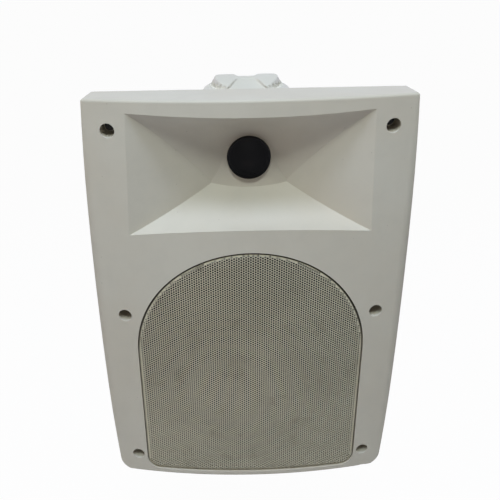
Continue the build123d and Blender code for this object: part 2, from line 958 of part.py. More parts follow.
def u_bracket():
    """Steel strap bent round the cabinet, with rounded arm ends and holes for the wall."""
    reach = pivot_to_wall + bracket_width / 2
    outer = Pos(-reach / 2, 0) * Rectangle(reach, 2 * arm_top)
    outer = fillet(outer.vertices().group_by(Axis.X)[-1], bracket_bend + bracket_sheet)
    inner = Pos(-reach / 2 - bracket_sheet, 0) * Rectangle(reach, 2 * (arm_top - bracket_sheet))
    inner = fillet(inner.vertices().group_by(Axis.X)[-1], bracket_bend)
    side_view = Plane(origin=(-bracket_width / 2, 0, 0), x_dir=(0, 1, 0), z_dir=(1, 0, 0))
    strap = extrude(side_view * (outer - inner), amount=bracket_width)
    plan = Pos(0, y_pivot) * Circle(bracket_width / 2)
    plan += Pos(0, y_pivot / 2) * Rectangle(bracket_width, pivot_to_wall)
    strap &= Pos(0, 0, -arm_top) * extrude(plan, amount=2 * arm_top)
    strap -= Pos(0, y_pivot, 0) * Cylinder(bolt_radius + arm_hole_clearance, 2 * arm_top)
    wall = Plane(origin=(0, 0, 0), x_dir=(1, 0, 0), z_dir=(0, -1, 0))
    for place in GridLocations(wall_hole_span_x, wall_hole_span_z, 2, 2):
        strap -= extrude(wall * place * Circle(wall_hole_radius), amount=bracket_sheet)
    return strap


def at_both_ends(piece):
    return group([piece, mirror(piece, about=Plane.XY)])


def pivot_inserts():
    ring = Circle(insert_radius) - Circle(bolt_radius + thread_clearance)
    sleeve = extrude(ring, amount=insert_length)
    return at_both_ends(Pos(0, y_pivot, body_half_height - insert_length) * sleeve)


def pivot_washers():
    ring = Circle(washer_radius) - Circle(bolt_radius + arm_hole_clearance)
    return at_both_ends(Pos(0, y_pivot, body_half_height) * extrude(ring, amount=washer_height))


def knob_bolt():
    length = bolt_bite + (knob_base - body_half_height) + bolt_grip
    return Pos(0, y_pivot, body_half_height - bolt_bite) * extrude(Circle(bolt_radius), amount=length)


def scoop():
    """Finger scoop: a ramp that widens from the bar on the crown to the edge of the knob."""
    tall = 2 * crown_top
    near = Plane.XZ.offset(crown_bar / 2) * Pos(0, crown_top - scoop_drop + tall / 2)
    far = Plane.XZ.offset(knob_radius + knob_taper) * Pos(0, knob_edge_height + tall / 2)
    sections = [
        near * Rectangle(2 * scoop_half_top, tall),
        far * Rectangle(2 * scoop_half_base, tall),
    ]
    return loft(sections, ruled=True)


def saddle():
    """Wide round cut that leaves the crown lowest at its bar."""
    radius = (saddle_half**2 + saddle_dip**2) / (2 * saddle_dip)
    cut = Rot(90, 0, 0) * Cylinder(radius, 2 * knob_radius)
    return Pos(0, 0, crown_top - saddle_dip + radius) * cut


def crown_waste():
    """What is cut from the crown so that it rolls down to the front and the back."""
    tall = crown_top - crown_base
    block = Pos(0, 0, crown_base + tall / 2) * Box(2 * knob_radius, 2 * knob_radius, tall)
    return block - Pos(0, 0, crown_top - crown_roll) * Rot(0, 90, 0) * Cylinder(crown_roll, 3 * knob_radius)


def hand_knob():
    """Round moulded knob: hollow skirt, hub for the bolt and a ribbed crown with two scoops."""
    roof = knob_edge_height - knob_roof
    shoulder = (crown_top_radius, crown_top - crown_round)
    crest = (crown_top_radius - crown_round, crown_top)
    edges = [
        Polyline(
            (0, crown_top),
            (0, 0),
            (knob_hub, 0),
            (knob_hub, roof),
            (knob_radius - knob_wall, roof),
            (knob_radius - knob_wall, 0),
            (knob_radius - knob_taper, 0),
            (knob_radius, knob_edge_height),
            (crown_radius, crown_base),
            shoulder,
        ),
        RadiusArc(shoulder, crest, -crown_round),
        Line(crest, (0, crown_top)),
    ]
    knob = revolve(Plane.XZ * make_face(edges), axis=Axis.Z)
    rib_tall = crown_top - crown_base + rib_drop
    for side in (0, 180):
        for step in range(rib_count):
            turn = side + (step - (rib_count - 1) / 2) * rib_step
            groove = Pos(crown_radius + rib_offset, 0, crown_top - rib_tall / 2)
            knob -= Rot(0, 0, turn) * groove * Cylinder(rib_radius, rib_tall)
        knob -= Rot(0, 0, side) * scoop()
    knob -= saddle() + crown_waste()
    return knob - Pos(0, 0, bolt_grip / 2) * Cylinder(bolt_radius, bolt_grip)


def lead(points):
    """Round lead along straight runs joined by arcs; points are (x, depth, z)."""
    points = [(x, y_front + depth, z) for x, depth, z in points]
    radii = []
    for before, corner, after in zip(points, points[1:], points[2:]):
        come = Vector(*corner) - Vector(*before)
        go = Vector(*after) - Vector(*corner)
        shorter = min(come.length, go.length)
        radii.append(lead_run_share * shorter / tan(radians(come.get_angle(go) / 2)))
    path = FilletPolyline(*points, radius=radii)
    start = Plane(origin=path @ 0, z_dir=path % 0)
    return sweep(start * Circle(lead_radius), path=path)


def input_lead():
    """One wire from each post, forward and up to the lower edge of the board."""
    start = cabinet_depth - post_inner_length
    turn = start - lead_standoff
    z_board = board_rise - board_height / 2 + standoff_inset
    wires = []
    for x, z in post_places():
        wires.append(lead([(x, start, z), (x, turn, z), (x, turn, z_board), (x, board_face, z_board)]))
    return group(wires)


def woofer_lead():
    """Twin lead from the basket, past the magnet, to the lower left of the board."""
    start = spider_seat + frame_sheet
    radius = spider_seat_radius - lead_radius - part_gap
    x = -radius * cos(radians(lead_clock))
    z = z_woofer + radius * sin(radians(lead_clock))
    x_board = -board_width / 2 + standoff_inset + choke_radius
    z_board = board_rise - board_height / 2 + standoff_inset
    return lead(
        [
            (x, start, z),
            (x, basket_base, z),
            (x_board - choke_radius, basket_base + 2 * lead_standoff, z_board - lead_standoff),
            (x_board, board_face - lead_standoff, z_board),
            (x_board, board_face, z_board),
        ]
    )


def tweeter_lead():
    """Twin lead from the tweeter's plate to the right of the board."""
    start = throat_back + plate_height
    x = (plate_radius + motor_radius) / 2
    x_board = board_width / 2 - standoff_inset - choke_radius + lead_radius
    return lead(
        [
            (x, start, z_tweeter),
            (x, start + lead_exit, z_tweeter),
            (x_board, front_to_pivot + lead_standoff, z_tweeter - 2 * lead_standoff),
            (x_board + lead_radius, board_face - lead_standoff, board_rise + choke_radius),
            (x_board + lead_radius, board_face, board_rise + choke_radius),
        ]
    )


nodes = {
    "u_bracket": u_bracket(),
    "front_baffle": front_baffle(),
    "rear_cabinet": rear_cabinet(),
    "baffle_gasket": baffle_gasket(),
    "baffle_screws": baffle_screws(),
    "woofer_grille": woofer_grille(),
    "grille_cloth": grille_cloth(),
    "woofer_basket": woofer_basket(),
    "woofer_gasket": woofer_gasket(),
    "woofer_surround": woofer_surround(),
    "woofer_cone": woofer_cone(),
    "dust_cap": dust_cap(),
    "voice_coil": voice_coil(),
    "woofer_spider": woofer_spider(),
    "woofer_top_plate": woofer_top_plate(),
    "woofer_magnet": woofer_magnet(),
    "woofer_back_plate": woofer_back_plate(),
    "woofer_screws": woofer_screws(),
    "tweeter_plate": tweeter_plate(),
    "tweeter_guard": tweeter_guard(),
    "tweeter_dome": tweeter_dome(),
    "tweeter_yoke": tweeter_yoke(),
    "tweeter_magnet": tweeter_magnet(),
    "tweeter_screws": tweeter_screws(),
    "crossover_board": crossover_board(),
    "board_screws": board_screws(),
    "crossover_coils": crossover_coils(),
    "crossover_capacitors": crossover_capacitors(),
    "crossover_resistor": crossover_resistor(),
    "terminal_plate": terminal_plate(),
    "terminal_plate_screws": terminal_plate_screws(),
    "terminal_posts": terminal_posts(),
    "terminal_nuts": terminal_nuts(),
    "terminal_cap_red": terminal_cap(1),
    "terminal_cap_black": terminal_cap(-1),
    "pivot_inserts": pivot_inserts(),
    "pivot_washers": pivot_washers(),
    "input_lead": input_lead(),
    "woofer_lead": woofer_lead(),
    "tweeter_lead": tweeter_lead(),
}
upper_knob = Pos(0, y_pivot, knob_base) * hand_knob()
nodes["knob_top"] = upper_knob
nodes["knob_bolt_top"] = knob_bolt()
nodes["knob_bottom"] = mirror(upper_knob, about=Plane.XY)
nodes["knob_bolt_bottom"] = mirror(knob_bolt(), about=Plane.XY)

os.makedirs("parts", exist_ok=True)
for name, shape in nodes.items():
    export_step(shape, f"parts/{name}.step")
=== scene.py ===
# %% [markdown]
# # Outdoor patio speaker
# A two-way speaker for a terrace: a white moulded front with a horn and an arch-shaped grille, a
# deep rear cabinet and a swivel bracket for the wall. The solids come from the CAD model. This
# lesson gives every piece its finish and models the two perforated sheets, whose thousands of holes
# are too fine for the solids. It also cuts the woofer's soft rings into sectors, and softens the
# hand knobs.

# %% Load the solids
import json
import math

import bpy
from mathutils import Euler, Matrix, Vector

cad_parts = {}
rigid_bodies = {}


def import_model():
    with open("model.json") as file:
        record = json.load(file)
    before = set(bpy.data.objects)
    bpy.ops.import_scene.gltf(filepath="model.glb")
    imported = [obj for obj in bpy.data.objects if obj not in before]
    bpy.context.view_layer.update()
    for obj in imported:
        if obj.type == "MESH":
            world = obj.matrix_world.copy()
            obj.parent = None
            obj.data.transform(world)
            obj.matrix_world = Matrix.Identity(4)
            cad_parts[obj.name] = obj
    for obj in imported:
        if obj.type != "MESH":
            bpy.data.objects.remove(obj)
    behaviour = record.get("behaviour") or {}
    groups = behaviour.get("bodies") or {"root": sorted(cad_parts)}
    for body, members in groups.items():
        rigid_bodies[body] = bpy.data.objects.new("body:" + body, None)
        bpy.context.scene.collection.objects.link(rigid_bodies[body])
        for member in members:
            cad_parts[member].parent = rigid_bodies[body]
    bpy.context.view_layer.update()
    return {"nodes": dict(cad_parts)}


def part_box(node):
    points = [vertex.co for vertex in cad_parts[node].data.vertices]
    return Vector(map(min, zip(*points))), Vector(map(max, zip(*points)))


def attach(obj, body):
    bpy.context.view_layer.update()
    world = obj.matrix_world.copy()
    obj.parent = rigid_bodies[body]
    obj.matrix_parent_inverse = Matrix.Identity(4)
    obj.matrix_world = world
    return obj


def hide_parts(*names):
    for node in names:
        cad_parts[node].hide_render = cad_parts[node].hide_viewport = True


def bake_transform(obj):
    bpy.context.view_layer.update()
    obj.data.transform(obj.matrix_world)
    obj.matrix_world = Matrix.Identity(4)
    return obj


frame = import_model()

nodes = frame["nodes"]
mm = 0.001
bpy.context.scene.view_settings.view_transform = "Standard"

# %% [markdown]
# ## Camera
# The photograph looks down on the speaker. Marks that lie at different depths (screw holes,
# tweeter, knob) give the place, the pitch and the focal length. The picture was cut out of a wider
# one, so its middle is not where the lens pointed: the camera's shift sets that. A camera starts by
# looking straight down, so it is tipped up by a right angle less the pitch, turned by the yaw, and
# rolled about its own axis.

# %% Set the camera
PICTURE_SIDE = 500
FOCAL_PIXELS = 676
SENSOR_WIDTH = 36
LENS_POINT = (226.3, 270.6)
camera_place = Vector((-0.0203, -0.6820, 0.2876))
camera_pitch = math.radians(27.53)
camera_yaw = math.radians(0.11)
camera_roll = math.radians(-1.05)

tipped = Euler((math.pi / 2 - camera_pitch, 0, -camera_yaw)).to_matrix()
camera_turn = tipped @ Matrix.Rotation(camera_roll, 3, "Z")
bpy.ops.object.camera_add(location=camera_place, rotation=camera_turn.to_euler())
camera = bpy.context.object
camera.data.sensor_width = SENSOR_WIDTH
camera.data.lens = FOCAL_PIXELS / PICTURE_SIDE * SENSOR_WIDTH
camera.data.shift_x = 0.5 - LENS_POINT[0] / PICTURE_SIDE
camera.data.shift_y = LENS_POINT[1] / PICTURE_SIDE - 0.5
bpy.context.scene.camera = camera
print("camera lens in mm:", round(camera.data.lens, 2))

# %% [markdown]
# ## One small class for shader maths
# A finish is a network of nodes. Wiring nodes by hand takes many lines, so this class wraps one
# output socket: arithmetic on it adds Math nodes, and its method `node` adds any other node from
# the node's type, its settings, and the values or wires of its sockets.


# %% Wrap a socket
class Wire:
    """An output socket that can be used in expressions."""

    def __init__(self, socket):
        self.socket = socket

    def node(self, kind, settings, sockets, output=0):
        tree = self.socket.id_data
        made = tree.nodes.new("ShaderNode" + kind)
        for name, value in settings.items():
            setattr(made, name, value)
        for place, value in sockets.items():
            if isinstance(value, Wire):
                tree.links.new(value.socket, made.inputs[place])
            else:
                made.inputs[place].default_value = value
        return Wire(made.outputs[output])

    def math(self, operation, first, second):
        return self.node("Math", {"operation": operation}, {0: first, 1: second})

    def __add__(self, other):
        return self.math("ADD", self, other)

    def __radd__(self, other):
        return self.math("ADD", other, self)

    def __sub__(self, other):
        return self.math("SUBTRACT", self, other)

    def __rsub__(self, other):
        return self.math("SUBTRACT", other, self)

    def __mul__(self, other):
        return self.math("MULTIPLY", self, other)

    def __rmul__(self, other):
        return self.math("MULTIPLY", other, self)


print("operators: + - *")

# %% [markdown]
# ## Patterns that the finishes share
# Real surfaces vary at several scales. Two small patterns cover most of it: clouds (slow changes of
# tone, or the fine grain of a mould when their scale is high) and specks (single spots of dirt).
# Both read Object coordinates in metres, so a scale of 1000 means features of one millimetre.


# %% Make the shared patterns
def colour(red, green, blue):
    """Linear colour from the 0 to 255 values that a picture shows."""
    values = [channel / 255 for channel in (red, green, blue)]
    linear = [v / 12.92 if v <= 0.04045 else ((v + 0.055) / 1.055) ** 2.4 for v in values]
    return (*linear, 1)


def shade(tone, factor):
    """The same colour, lighter or darker."""
    return (*[min(channel * factor, 1) for channel in tone[:3]], 1)


def clouds(place, scale, detail=3.0, roughness=0.5):
    return place.node(
        "TexNoise", {}, {"Vector": place, "Scale": scale, "Detail": detail, "Roughness": roughness}
    )


def step(value, low, high):
    """0 below low, 1 above high, smooth between."""
    return value.node(
        "MapRange",
        {"interpolation_type": "SMOOTHSTEP"},
        {"Value": value, "From Min": low, "From Max": high},
    )


def mix(factor, first, second):
    """Blend of two colours."""
    anchor = next(v for v in (factor, first, second) if isinstance(v, Wire))
    return anchor.node("Mix", {"data_type": "RGBA"}, {0: factor, 6: first, 7: second}, output=2)


def specks(place, cell, size, share):
    """Round spots, at most one in a cell; share of the cells have one."""
    settings = {"feature": "F1"}
    sockets = {"Vector": place, "Scale": 1 / cell, "Randomness": 1.0}
    distance = place.node("TexVoronoi", settings, sockets)
    cell_colour = place.node("TexVoronoi", settings, sockets, output=1)
    chance = place.node("SeparateColor", {}, {0: cell_colour})
    near = 1 - step(distance, size / cell * 0.5, size / cell)
    return near * step(chance, 1 - share, 1 - share + 0.02)


def begin(name):
    """A new material: its principled shader and a wire with the Object coordinates."""
    material = bpy.data.materials.new(name)
    material.use_nodes = True
    tree = material.node_tree
    shader = tree.nodes["Principled BSDF"]
    place = Wire(tree.nodes.new("ShaderNodeTexCoord").outputs["Object"])
    return material, shader, place


def connect(shader, **wires):
    for name, wire in wires.items():
        socket = shader.inputs[name.replace("_", " ").title()]
        shader.id_data.links.new(wire.socket, socket)


def bump(height, distance, strength=1.0):
    return height.node("Bump", {}, {"Height": height, "Distance": distance, "Strength": strength})


print("patterns: clouds, step, mix, specks, bump")

# %% [markdown]
# ## Moulded plastic
# The front, the cabinet and the knobs are injection mouldings with a satin, finely spark-eroded
# skin. A flat colour would look like paper, so the tone drifts in wide clouds, the grain of the
# mould shows as a faint bump, and a few specks of garden dirt sit on the pale pieces. The groove
# where the grille meets the front is darkened as painted shade, which stands for the shadow in
# that gap: masks built on the grille's box say where.


# %% Write the moulded finish
# Painted shade: this dark tone stands for the shadow in the groove and on the grille's rim, and in
# the grille's holes it is partly dirt and partly painted shade. GROOVE_COVER is how much of it
# shows.
SHADE_AND_DIRT_TONE = colour(42, 36, 29)
GROOVE_COVER = 0.9


def moulded(name, tone, gloss=0.42, soil=0.0, grain=0.02 * mm, shine=0.5, groove=None):
    material, shader, place = begin(name)
    drift = clouds(place, 11.0, 4.0)
    patch = clouds(place, 55.0, 3.0, 0.6)
    skin = clouds(place, 1700.0, 2.0)
    warm = (tone[0], tone[1] * 0.98, tone[2] * 0.96, 1)
    base = mix(step(drift, 0.35, 0.68), tone, shade(warm, 0.97))
    base = mix(step(patch, 0.42, 0.75) * 0.35, base, shade(tone, 0.9))
    base = mix(skin * 0.12, base, shade(tone, 0.72))
    if soil:
        brown = colour(96, 84, 66)
        base = mix(specks(place, 9 * mm, 0.55 * mm, 0.4) * soil, base, brown)
        base = mix(specks(place, 23 * mm, 0.8 * mm, 0.5) * soil, base, shade(brown, 0.7))
    # Painted shade: the mask darkens the groove round the grille.
    if groove:
        base = mix(groove(place) * GROOVE_COVER, base, SHADE_AND_DIRT_TONE)
    rough = gloss + (drift - 0.5) * 0.12 + (skin - 0.5) * 0.1
    connect(shader, base_color=base, roughness=rough, normal=bump(skin, grain))
    shader.inputs["Specular IOR Level"].default_value = shine
    return material


print("shade and dirt cover", GROOVE_COVER, "of a groove")

# %% Mask the painted shade round the grille and the dirt and shade in its holes
BOW_DIAMETER = 1.12


def arch_edge(place):
    """Distance out from the grille's edge, depth below the bowed face, 1 at the arch's top."""
    low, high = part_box("woofer_grille")
    half = (high.x - low.x) / 2
    centre = high.z - half
    x, y, z = [place.node("SeparateXYZ", {}, {0: place}, output=number) for number in range(3)]
    rise = place.math("MAXIMUM", z - centre, 0.0)
    outwards = place.math("SQRT", x * x + rise * rise, 0.0) - half
    below_face = y - low.y - x * x * (1 / BOW_DIAMETER)
    return outwards, below_face, step(z, centre - 15 * mm, centre + 45 * mm)


def grille_groove_shade(place):
    """1 in the groove round the grille, darkened there as painted shade, most of all at the top."""
    outwards, below_face, top = arch_edge(place)
    beside = 1 - step(place.math("ABSOLUTE", outwards - 0.4 * mm, 0.0), 1.0 * mm, 1.4 * mm)
    depth = step(below_face, 0.6 * mm, 1.8 * mm) - step(below_face, 18 * mm, 22 * mm)
    return beside * depth * (top * 0.75 + 0.25)


def grille_rim_shade(place):
    """1 on the turned edge of the sheet at the top of the arch, darkened there as painted shade."""
    outwards, _, top = arch_edge(place)
    return step(outwards, -1.3 * mm, -0.7 * mm) * top


def hole_dirt_and_shade(place):
    """1 in the holes at the top of the grille, fading to 0 at its foot; dirt and painted shade
    there.
    """
    low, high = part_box("woofer_grille")
    z = place.node("SeparateXYZ", {}, {0: place}, output=2)
    return step(z, low.z + 10 * mm, high.z)


print("masks: groove, rim, holes")

# %% Make the moulded finishes
# The white moulding gets painted shade in the groove round the grille.
finishes = {
    "white_moulding": moulded(
        "white_moulding", colour(206, 200, 187), 0.5, soil=0.22, shine=0.1, groove=grille_groove_shade
    ),
    "knob_moulding": moulded("knob_moulding", colour(214, 211, 200), 0.46, soil=0.25, shine=0.15),
    "black_plastic": moulded("black_plastic", colour(30, 30, 31), 0.45),
    "red_plastic": moulded("red_plastic", colour(158, 26, 24), 0.35),
    "cone_plastic": moulded("cone_plastic", colour(38, 38, 40), 0.38, grain=0.04 * mm),
}
print("moulded finishes:", sorted(finishes))

# %% [markdown]
# ## Sprayed metal
# The grille, the bracket, the basket and the screws are painted metal. A sprayed coat has a slight
# orange-peel wave, wider than the grain of a moulding, and it chips or gathers dirt in small spots.


# %% Write the sprayed finish
def sprayed(name, tone, gloss=0.5, soil=0.0, peel=0.03 * mm, shine=0.5, groove=None):
    material, shader, place = begin(name)
    drift = clouds(place, 16.0, 4.0)
    waves = clouds(place, 620.0, 1.0)
    grit = clouds(place, 2400.0, 2.0)
    base = mix(step(drift, 0.3, 0.7), tone, shade(tone, 0.9))
    base = mix(step(grit, 0.5, 0.8) * 0.3, base, shade(tone, 0.75))
    if soil:
        brown = colour(88, 74, 56)
        haze = step(clouds(place, 38.0, 5.0, 0.65), 0.52, 0.74)
        base = mix(haze * soil * 0.4, base, shade(brown, 1.6))
        base = mix(specks(place, 31 * mm, 3.6 * mm, 0.4) * soil * 0.6, base, shade(brown, 1.3))
    # Painted shade: the mask darkens the grille's rim, or darkens its holes with dirt and shade.
    if groove:
        base = mix(groove(place) * GROOVE_COVER, base, SHADE_AND_DIRT_TONE)
    rough = gloss + (drift - 0.5) * 0.16 + (grit - 0.5) * 0.08
    connect(shader, base_color=base, roughness=rough, normal=bump(waves + grit * 0.3, peel))
    shader.inputs["Specular IOR Level"].default_value = shine
    return material


sprayed_finishes = {
    # The grille's rim is darkened at the top of the arch as painted shade.
    "grille_paint": sprayed(
        "grille_paint", colour(212, 204, 181), 0.6, soil=0.6, shine=0.1, groove=grille_rim_shade
    ),
    # The hole walls' darker paint is partly dirt and partly painted shade, darkest at the top.
    "grille_hole_dirt_and_shade": sprayed(
        "grille_hole_dirt_and_shade", colour(176, 168, 149), 0.7, soil=0.5, shine=0.05, groove=hole_dirt_and_shade
    ),
    "bracket_paint": sprayed("bracket_paint", colour(214, 213, 205), 0.42, soil=0.2),
    "basket_paint": sprayed("basket_paint", colour(34, 34, 36), 0.5),
    "guard_mesh": sprayed("guard_mesh", colour(7, 7, 13), 0.32, shine=0.12),
    "black_screws": sprayed("black_screws", colour(26, 26, 27), 0.38),
}
finishes.update(sprayed_finishes)
print("sprayed finishes:", sorted(sprayed_finishes))

# %% [markdown]
# ## Cloth, foam and rubber
# Behind the grille lies a thin black cloth, and the woofer hangs in a rubber roll and a woven
# spider. Cloth is two sets of threads: one sine wave for each direction, used as a height. Foam and
# rubber only need pores or a dull skin.


# %% Write the soft finishes
def woven(name, tone, thread):
    material, shader, place = begin(name)
    sideways = place.node("SeparateXYZ", {}, {0: place})
    upright = place.node("SeparateXYZ", {}, {0: place}, output=2)
    turns = 2 * math.pi / thread
    across = place.node("Math", {"operation": "SINE"}, {0: sideways * turns})
    along = place.node("Math", {"operation": "SINE"}, {0: upright * turns})
    threads = across * along
    drift = clouds(place, 30.0)
    base = mix(step(threads, -0.8, 0.8), shade(tone, 0.55), tone)
    base = mix(step(drift, 0.35, 0.7) * 0.5, base, shade(tone, 1.35))
    rough = 0.86 + (drift - 0.5) * 0.1
    connect(shader, base_color=base, roughness=rough, normal=bump(threads, 0.12 * mm, 0.7))
    shader.inputs["Sheen Weight"].default_value = 0.08
    return material


def soft(name, tone, pore, depth, gloss):
    material, shader, place = begin(name)
    pores = clouds(place, 1 / pore, 3.0, 0.6)
    drift = clouds(place, 25.0, 4.0)
    base = mix(step(pores, 0.35, 0.6), shade(tone, 0.6), tone)
    base = mix(step(drift, 0.45, 0.75) * 0.4, base, shade(tone, 1.4))
    rough = gloss + (drift - 0.5) * 0.14
    connect(shader, base_color=base, roughness=rough, normal=bump(pores, depth, 0.8))
    return material


soft_finishes = {
    "grille_cloth": woven("grille_cloth", colour(13, 12, 11), 0.9 * mm),
    "spider_cloth": woven("spider_cloth", colour(168, 138, 84), 0.8 * mm),
    "dome_cloth": woven("dome_cloth", colour(22, 22, 24), 0.45 * mm),
    "black_foam": soft("black_foam", colour(28, 28, 29), 0.5 * mm, 0.2 * mm, 0.9),
    "surround_rubber": soft("surround_rubber", colour(25, 25, 26), 0.3 * mm, 0.02 * mm, 0.62),
    "lead_sleeve": soft("lead_sleeve", colour(32, 32, 34), 0.4 * mm, 0.02 * mm, 0.5),
}
finishes.update(soft_finishes)
print("soft finishes:", sorted(soft_finishes))

# %% [markdown]
# ## Bare metal and windings
# Posts, bolts and the magnet's plates are bare metal: fine brushing in one direction changes the
# roughness, and a few dull stains break the shine. The coils are copper wire, so a wave across the
# winding gives one ridge for each turn.


# %% Write the metal finishes
def bare(name, tone, gloss, stain):
    material, shader, place = begin(name)
    stretched = place.node("Mapping", {}, {"Vector": place, "Scale": (60.0, 900.0, 900.0)})
    brush = clouds(stretched, 1.0, 2.0)
    drift = clouds(place, 70.0, 5.0, 0.6)
    base = mix(step(drift, 0.45, 0.75) * stain, tone, shade(tone, 0.45))
    rough = gloss + (brush - 0.5) * 0.2 + step(drift, 0.5, 0.8) * 0.25
    connect(shader, base_color=base, roughness=rough, normal=bump(brush, 0.01 * mm))
    shader.inputs["Metallic"].default_value = 1.0
    return material


def wound(name, tone, turn):
    material, shader, place = begin(name)
    sockets = {"Vector": place, "Scale": 1 / turn / 2, "Distortion": 0.4}
    ridges = place.node("TexWave", {"bands_direction": "Y"}, sockets, output=1)
    drift = clouds(place, 90.0, 4.0)
    base = mix(ridges, shade(tone, 0.45), tone)
    base = mix(step(drift, 0.4, 0.75) * 0.4, base, shade(tone, 0.6))
    rough = 0.34 + (drift - 0.5) * 0.2
    connect(shader, base_color=base, roughness=rough, normal=bump(ridges, 0.15 * mm))
    shader.inputs["Metallic"].default_value = 0.8
    return material


metal_finishes = {
    "motor_steel": bare("motor_steel", colour(150, 148, 140), 0.38, 0.3),
    "terminal_brass": bare("terminal_brass", colour(206, 172, 98), 0.28, 0.35),
    "bolt_steel": bare("bolt_steel", colour(172, 172, 170), 0.32, 0.3),
    "coil_winding": wound("coil_winding", colour(168, 98, 52), 0.35 * mm),
    "choke_wire": wound("choke_wire", colour(176, 104, 56), 0.8 * mm),
}
finishes.update(metal_finishes)
print("metal finishes:", sorted(metal_finishes))

# %% [markdown]
# ## Board, ferrite and ceramic
# The crossover's pieces and the magnet are hard, dull and slightly speckled. One finish with its
# own tone, grain size and gloss is enough for all of them, since they sit inside the closed
# cabinet.


# %% Write the mineral finish
def mineral(name, tone, grain, gloss):
    material, shader, place = begin(name)
    speckle = clouds(place, 1 / grain, 3.0, 0.7)
    drift = clouds(place, 45.0, 4.0)
    base = mix(step(speckle, 0.4, 0.62), shade(tone, 0.72), tone)
    base = mix(step(drift, 0.45, 0.7) * 0.5, base, shade(tone, 1.2))
    rough = gloss + (drift - 0.5) * 0.15
    connect(shader, base_color=base, roughness=rough, normal=bump(speckle, 0.03 * mm, 0.6))
    return material


mineral_finishes = {
    "ferrite": mineral("ferrite", colour(44, 44, 46), 0.6 * mm, 0.7),
    "board_laminate": mineral("board_laminate", colour(62, 92, 58), 0.8 * mm, 0.5),
    "capacitor_sleeve": mineral("capacitor_sleeve", colour(58, 62, 84), 0.4 * mm, 0.35),
    "resistor_cement": mineral("resistor_cement", colour(208, 204, 192), 0.5 * mm, 0.8),
}
finishes.update(mineral_finishes)
print("mineral finishes:", sorted(mineral_finishes))

# %% [markdown]
# ## Dress the solids
# Every solid came in with a plain material named after its slot in the record. The slot's name
# finds the finish, and only the material changes: the shape stays as the CAD model has it.

# %% Give each solid its finish
for solid in nodes.values():
    for number, plain in enumerate(solid.data.materials):
        solid.data.materials[number] = finishes[plain.name.split(".")[0]]
print("dressed solids:", len(nodes))

# %% [markdown]
# ## Perforated sheets: the field of holes
# The grille is a steel sheet punched with small holes in a 60 degree stagger. A texture of dots
# would look flat at an angle, so the holes are real. One six-sided cell is drawn, its middle is
# inset to become the hole, and three Array modifiers lay out the columns and rows. The cells that
# don't fit inside the outline are deleted. A hole is only about two pixels wide in the photograph,
# so six sides are enough for it.


# %% Write helpers for objects and modifiers
SMOOTH_ANGLE = math.radians(40)


def deselect():
    if bpy.context.object and bpy.context.object.mode != "OBJECT":
        bpy.ops.object.mode_set(mode="OBJECT")
    bpy.ops.object.select_all(action="DESELECT")


def apply_modifier(piece, kind, **settings):
    modifier = piece.modifiers.new(kind.title(), kind)
    for name, value in settings.items():
        setattr(modifier, name, value)
    bpy.ops.object.modifier_apply(modifier=modifier.name)


def repeat(piece, count, offset):
    apply_modifier(
        piece,
        "ARRAY",
        count=count,
        use_relative_offset=False,
        use_constant_offset=True,
        constant_offset_displace=offset,
    )


def triangle_count(piece):
    return sum(len(face.vertices) - 2 for face in piece.data.polygons)


print("helpers: deselect, apply_modifier, repeat, triangle_count")

# %% Lay out the cells
CELL_SIDES = 6
FACES_IN_CELL = CELL_SIDES + 1


def hole_field(name, pitch, hole_radius, low, high, front, inside):
    """Flat sheet of six-sided cells with a capped hole in each, upright at y = front."""
    deselect()
    column = pitch * math.sqrt(3)
    pairs = math.ceil((high[0] - low[0]) / column / 2)
    rows = math.ceil((high[1] - low[1]) / pitch) + 1
    middle = (low[0] + high[0]) / 2
    bpy.ops.mesh.primitive_circle_add(
        vertices=CELL_SIDES,
        radius=pitch / math.sqrt(3),
        fill_type="NGON",
        location=(middle - pairs * column, front, low[1]),
        rotation=(math.pi / 2, math.pi / 6, 0),
    )
    field = bpy.context.object
    field.name = name
    bpy.ops.object.transform_apply(location=True, rotation=True, scale=True)
    bpy.ops.object.mode_set(mode="EDIT")
    bpy.ops.mesh.inset(thickness=pitch / 2 - hole_radius * math.sqrt(3) / 2)
    bpy.ops.object.mode_set(mode="OBJECT")
    repeat(field, 2, (column / 2, 0, pitch / 2))
    repeat(field, rows, (0, 0, pitch))
    repeat(field, 2 * pairs + 1, (column, 0, 0))

    bpy.ops.object.mode_set(mode="EDIT")
    bpy.ops.mesh.select_mode(type="FACE")
    bpy.ops.mesh.select_all(action="DESELECT")
    bpy.ops.object.mode_set(mode="OBJECT")
    polygons = field.data.polygons
    for first in range(0, len(polygons), FACES_IN_CELL):
        cell = [polygons[first + number] for number in range(FACES_IN_CELL)]
        cap = max(cell, key=lambda face: len(face.vertices))
        outside = not inside(cap.center.x, cap.center.z)
        for face in cell:
            face.select = outside
    bpy.ops.object.mode_set(mode="EDIT")
    bpy.ops.mesh.delete(type="FACE")
    bpy.ops.mesh.select_all(action="SELECT")
    bpy.ops.mesh.remove_doubles(threshold=pitch / 50)
    bpy.ops.object.mode_set(mode="OBJECT")
    return field


print("cells in a stagger: each hole has six neighbours")

# %% [markdown]
# ## Perforated sheets: edge, form and thickness
# The ragged rim of the field is filled out to a smooth outline. A Shrinkwrap modifier then presses
# the flat sheet onto the CAD sheet, so it takes the same bow and rounded edge. Extruding the rims
# of the holes backwards shows the thickness of the metal. These walls become a piece of their own,
# so that they can take a darker paint: partly dirt, and partly painted shade for the shadow in the
# holes. Extruding the outline makes the turned-in edge.


# %% Press and thicken a sheet
def select_where(piece, kind, test):
    """Select vertices or edges of a piece by a test, with edit mode left on."""
    bpy.ops.object.mode_set(mode="EDIT")
    bpy.ops.mesh.select_mode(type=kind)
    bpy.ops.mesh.select_all(action="DESELECT")
    bpy.ops.object.mode_set(mode="OBJECT")
    for part in piece.data.vertices if kind == "VERT" else piece.data.edges:
        part.select = test(part)
    bpy.ops.object.mode_set(mode="EDIT")


